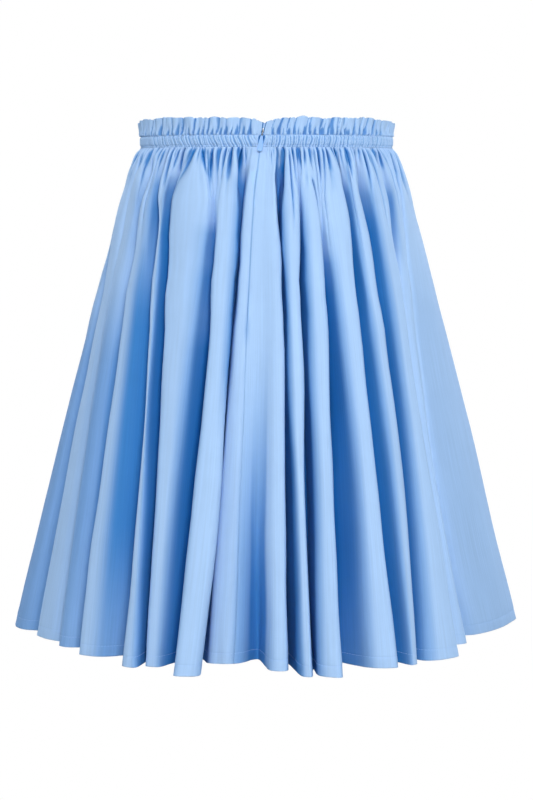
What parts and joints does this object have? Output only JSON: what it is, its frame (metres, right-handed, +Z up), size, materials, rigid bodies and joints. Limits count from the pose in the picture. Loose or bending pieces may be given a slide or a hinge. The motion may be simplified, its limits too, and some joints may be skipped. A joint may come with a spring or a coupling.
{
  "type": "gathered circle skirt, worn shape",
  "caption": "Gathered circle skirt with an elastic waist, paper-bag frill and back zip, hollow and filled out as worn.",
  "frame": {"origin": "centre of the waist, level with the middle of the elastic channel", "axes": "+Z up, -Y the wearer's back with the zip, +X the wearer's right"},
  "size_m": [0.5361, 0.446, 0.5372],
  "materials": {
    "poplin": "light blue cotton poplin, fine plain weave, faint sheen",
    "zip_tape": "light blue woven tape",
    "zip_coil": "light blue nylon coil",
    "zip_metal": "worn plated metal",
    "zip_pull": "light blue enamel, satin"
  },
  "bodies": {
    "skirt": {"skirt_front": "poplin", "skirt_back_left": "poplin", "skirt_back_right": "poplin", "waistband": "poplin", "zip_tape_left": "zip_tape", "zip_tape_right": "zip_tape", "zip_chain": "zip_coil", "zip_slider": "zip_metal"},
    "pull": {"zip_pull": "zip_pull"}
  },
  "joints": [
    {"name": "pull_hinge", "type": "hinge", "parent": "skirt", "child": "pull", "pos_m": [-0.00412, -0.09775, 0.0072], "axis": [-0.9888, 0, 0.1495], "range_deg": [0, 145]}
  ]
}
